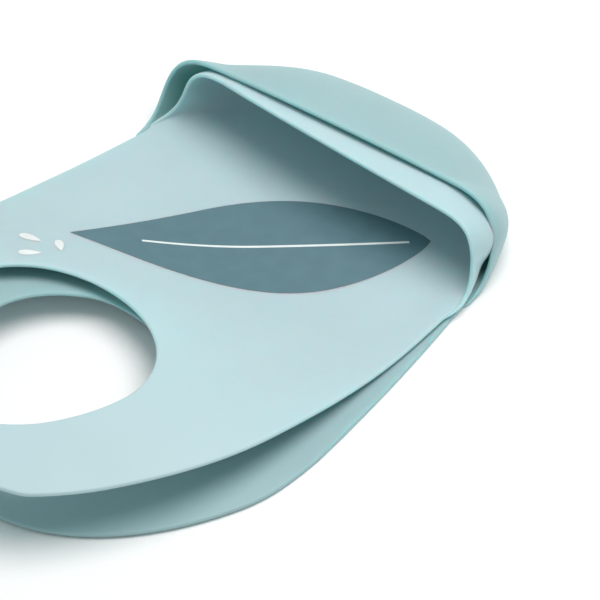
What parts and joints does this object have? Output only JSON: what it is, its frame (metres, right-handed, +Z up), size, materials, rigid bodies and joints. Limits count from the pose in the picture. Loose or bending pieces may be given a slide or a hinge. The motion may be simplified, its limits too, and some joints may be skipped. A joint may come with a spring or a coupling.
{
  "type": "silicone bib pair",
  "caption": "Nested pair of silicone pocket bibs, open and flat, with catch pouches, folding neck straps and stud fastenings.",
  "frame": {"origin": "on the table, under the middle of the nested pair's box", "axes": "+Y along the lower bib from its neck to its pouch, +Z up out of the table, +X to the wearer's left as worn"},
  "size_m": [0.2207, 0.3241, 0.0455],
  "materials": {
    "silicone_lower": "matte soft-touch silicone, pale aqua",
    "silicone_upper": "matte soft-touch silicone, pale aqua",
    "print_slate": "matte slate print ink",
    "print_white": "matte off-white print ink"
  },
  "bodies": {
    "lower_bib": {"lower_apron": "silicone_lower", "lower_pouch": "silicone_lower"},
    "lower_stud_side": {"lower_stud_strap": "silicone_lower", "lower_stud_1": "silicone_lower", "lower_stud_2": "silicone_lower"},
    "lower_hole_side": {"lower_hole_strap": "silicone_lower"},
    "upper_bib": {"upper_apron": "silicone_upper", "upper_pouch": "silicone_upper", "print_leaf": "print_slate", "print_leaf_vein": "print_white", "print_drop_1": "print_white", "print_drop_2": "print_white", "print_drop_3": "print_white"},
    "upper_stud_side": {"upper_stud_strap": "silicone_upper", "upper_stud_1": "silicone_upper", "upper_stud_2": "silicone_upper"},
    "upper_hole_side": {"upper_hole_strap": "silicone_upper"}
  },
  "joints": [
    {"name": "upper_bib_slide", "type": "slide", "parent": "lower_bib", "child": "upper_bib", "axis": [0, -0.9703, 0.2419], "range_m": [0, 0.34]},
    {"name": "upper_stud_strap_fold", "type": "hinge", "parent": "upper_bib", "child": "upper_stud_side", "pos_m": [0, -0.1059, 0.0339], "axis": [-1, 0, 0], "range_deg": [0, 95]},
    {"name": "upper_hole_strap_fold", "type": "hinge", "parent": "upper_bib", "child": "upper_hole_side", "pos_m": [0, -0.1059, 0.0339], "axis": [-1, 0, 0], "range_deg": [0, 95]},
    {"name": "lower_stud_strap_fold", "type": "hinge", "parent": "lower_bib", "child": "lower_stud_side", "pos_m": [0, -0.1169, 0.0227], "axis": [-1, 0, 0], "range_deg": [0, 95]},
    {"name": "lower_hole_strap_fold", "type": "hinge", "parent": "lower_bib", "child": "lower_hole_side", "pos_m": [0, -0.1169, 0.0227], "axis": [-1, 0, 0], "range_deg": [0, 95]}
  ],
  "couplings": [
    {"joint": "lower_stud_strap_fold", "follows": "upper_stud_strap_fold", "ratio": 1},
    {"joint": "lower_hole_strap_fold", "follows": "upper_hole_strap_fold", "ratio": 1}
  ]
}
